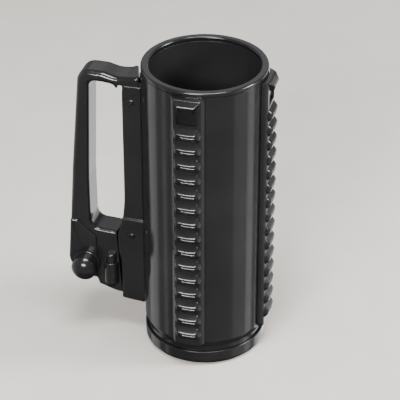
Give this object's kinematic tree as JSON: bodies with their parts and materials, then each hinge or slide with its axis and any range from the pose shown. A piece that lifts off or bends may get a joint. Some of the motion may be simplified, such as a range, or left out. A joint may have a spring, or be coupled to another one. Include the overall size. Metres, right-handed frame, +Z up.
{
  "type": "rail-sided drinking mug",
  "caption": "Tall black mug with ribbed rails down its sides, a flat foot and a squared carry handle that has a turning knob and a spring button.",
  "frame": {"origin": "centre of the foot pad's underside, on the cup's axis", "axes": "+Z up along the cup's axis; the handle points to -X; the front rail faces -Y"},
  "size_m": [0.1297, 0.0868, 0.192],
  "materials": {
    "black_shell": "satin gloss black",
    "black_coating": "black food-safe coating",
    "black_rubber": "matt",
    "dark_steel": "black oxide",
    "spring_steel": "bright"
  },
  "bodies": {
    "mug": {"rim_ring": "black_shell", "outer_sleeve": "black_shell", "base_cap": "black_shell", "front_rail": "black_shell", "side_rail": "black_shell", "back_rail": "black_shell", "carry_handle": "black_shell", "near_side_plate": "black_shell", "far_side_plate": "black_shell", "cup_liner": "black_coating", "rim_gasket": "black_rubber", "base_seal": "black_rubber", "foot_pad": "black_rubber", "tie_stud": "dark_steel", "tie_washer": "dark_steel", "tie_nut": "dark_steel", "upper_cross_screw": "dark_steel", "lower_cross_screw": "dark_steel", "upper_cross_nut": "dark_steel", "lower_cross_nut": "dark_steel", "button_pin": "dark_steel", "front_rail_upper_screw": "dark_steel", "front_rail_lower_screw": "dark_steel", "side_rail_upper_screw": "dark_steel", "side_rail_lower_screw": "dark_steel", "back_rail_upper_screw": "dark_steel", "back_rail_lower_screw": "dark_steel", "upper_spine_screw": "dark_steel", "middle_spine_screw": "dark_steel", "lower_spine_screw": "dark_steel", "knob_washer": "spring_steel", "button_spring": "spring_steel"},
    "knob": {"sight_knob": "black_shell", "knob_shaft": "dark_steel", "knob_collar": "dark_steel"},
    "button": {"push_button": "black_shell"}
  },
  "joints": [
    {"name": "knob_turn", "type": "hinge", "parent": "mug", "child": "knob", "pos_m": [-0.0739, 0, 0.0454], "axis": [0, -1, 0], "continuous": true},
    {"name": "button_press", "type": "slide", "parent": "mug", "child": "button", "axis": [0, 0, -1], "range_m": [0, 0.002], "stiffness_N_per_m": 500, "springref_m": -0.002, "deforming": ["button_spring"]}
  ]
}
